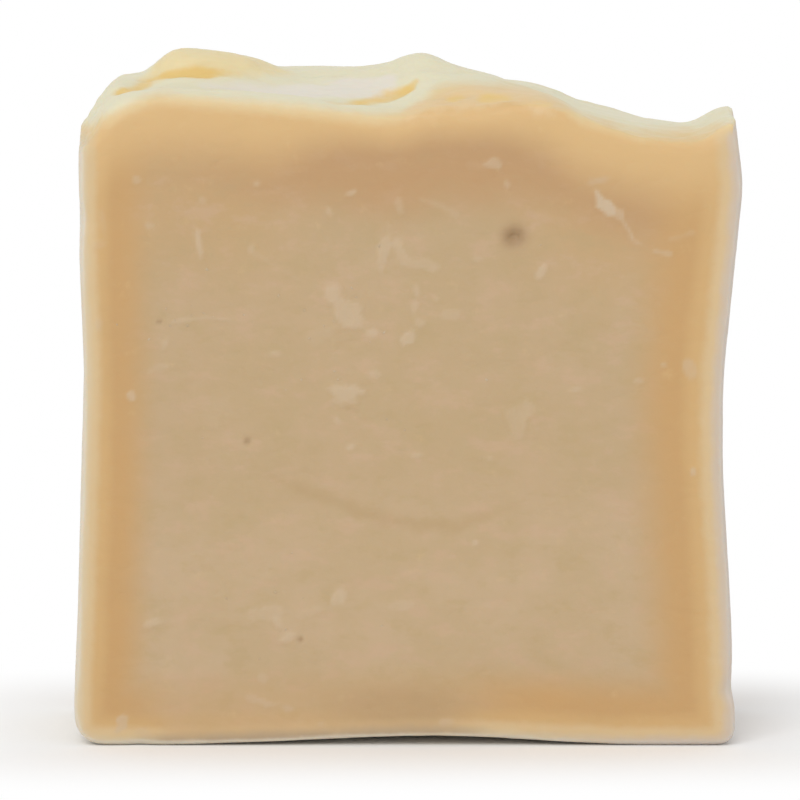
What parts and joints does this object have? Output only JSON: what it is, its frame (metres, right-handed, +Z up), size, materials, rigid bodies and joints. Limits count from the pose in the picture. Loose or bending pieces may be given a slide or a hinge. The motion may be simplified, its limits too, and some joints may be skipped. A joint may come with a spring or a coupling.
{
  "type": "bar of soap",
  "caption": "Rectangular slice of handmade loaf soap with flat cut faces, waisted moulded sides and a spooned, peaked top. It stands on its moulded lower edge.",
  "frame": {"origin": "middle of the foot, on the surface that the bar stands on", "axes": "+X across the bar to the right as seen from the front cut face, +Y through its thickness away from that face, +Z up to the spooned top"},
  "size_m": [0.0774, 0.025, 0.0802],
  "materials": {
    "soap": "matte, slightly waxy cured soap, tan inside with an amber band and a pale cream bloom on its rind"
  },
  "bodies": {
    "root": {"soap_bar": "soap"}
  },
  "joints": []
}
